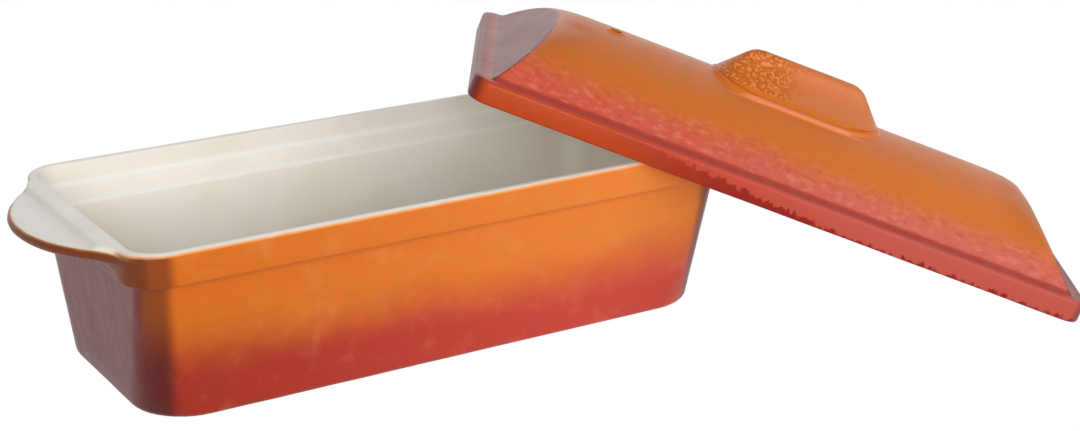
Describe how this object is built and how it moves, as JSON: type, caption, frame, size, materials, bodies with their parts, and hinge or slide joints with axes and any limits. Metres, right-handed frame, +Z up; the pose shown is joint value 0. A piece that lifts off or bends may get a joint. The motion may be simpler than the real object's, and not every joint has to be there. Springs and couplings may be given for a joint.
{
  "type": "terrine dish",
  "caption": "Long straight-sided terrine dish with ogee lugs and a stepped rim, with its hipped lid leaning on the rim; the lid has a fin handle and a steam vent.",
  "frame": {"origin": "centre of the dish's flat underside, on the surface that it stands on", "axes": "+X along the dish's length towards the lug beside the leaning lid's low end, +Y across it to the long side away from that low end, +Z up out of the dish's mouth"},
  "size_m": [0.4753, 0.2439, 0.1235],
  "materials": {
    "dish_enamel": "glossy vitreous enamel, orange shading to red outside and cream inside",
    "lid_enamel": "glossy vitreous enamel, orange shading to red outside and cream inside"
  },
  "bodies": {
    "root": {"dish": "dish_enamel", "lid": "lid_enamel"}
  },
  "joints": []
}
